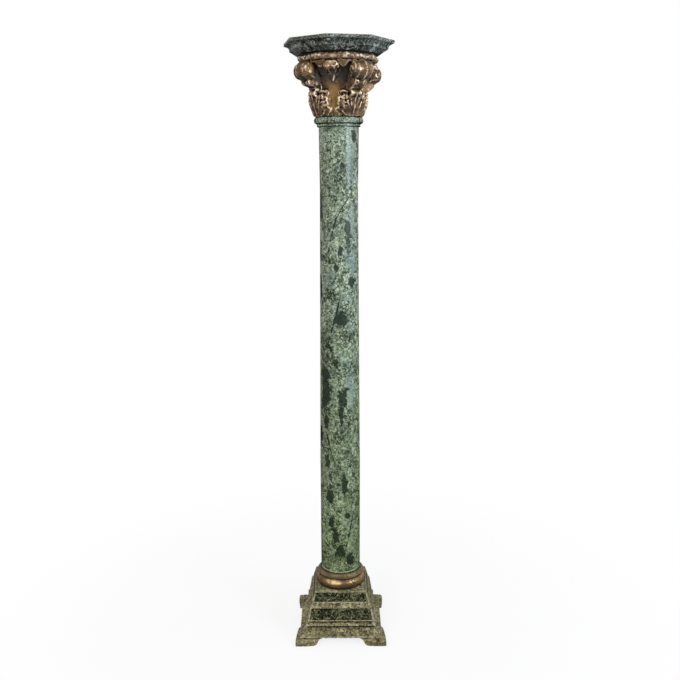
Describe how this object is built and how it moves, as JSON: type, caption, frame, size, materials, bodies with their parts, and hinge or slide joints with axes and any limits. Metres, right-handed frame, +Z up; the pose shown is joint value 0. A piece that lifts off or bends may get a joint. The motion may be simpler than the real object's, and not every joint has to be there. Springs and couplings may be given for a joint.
{
  "type": "wooden column",
  "caption": "Tall painted and gilded wooden column: square tapered pedestal on bracket feet, marbled turned shaft, carved leaf capital and an eight-sided moulded cap.",
  "frame": {"origin": "on the floor under the middle of the square pedestal", "axes": "+Z up along the axis of the shaft, -Y towards the front side of the pedestal, +X to the right seen from the front"},
  "size_m": [0.314, 0.314, 1.806],
  "materials": {
    "dark_marbling": "worn dark green marbling on painted wood",
    "gilding": "antique gilding over brown bole on carved wood",
    "green_marbling": "grey-green marbling with dark veins on turned wood, satin",
    "olive_paint": "mottled olive paint on wood, worn at the edges",
    "panel_marbling": "dark green marbling with light veins on wood"
  },
  "bodies": {
    "root": {"abacus": "dark_marbling", "capital": "gilding", "shaft": "green_marbling", "base_ring": "gilding", "pedestal_die": "olive_paint", "plinth": "olive_paint", "upper_panel_front": "panel_marbling", "upper_panel_right": "panel_marbling", "upper_panel_back": "panel_marbling", "upper_panel_left": "panel_marbling", "lower_panel_front": "panel_marbling", "lower_panel_right": "panel_marbling", "lower_panel_back": "panel_marbling", "lower_panel_left": "panel_marbling", "foot_front_left": "olive_paint", "foot_front_right": "olive_paint", "foot_back_right": "olive_paint", "foot_back_left": "olive_paint"}
  },
  "joints": []
}
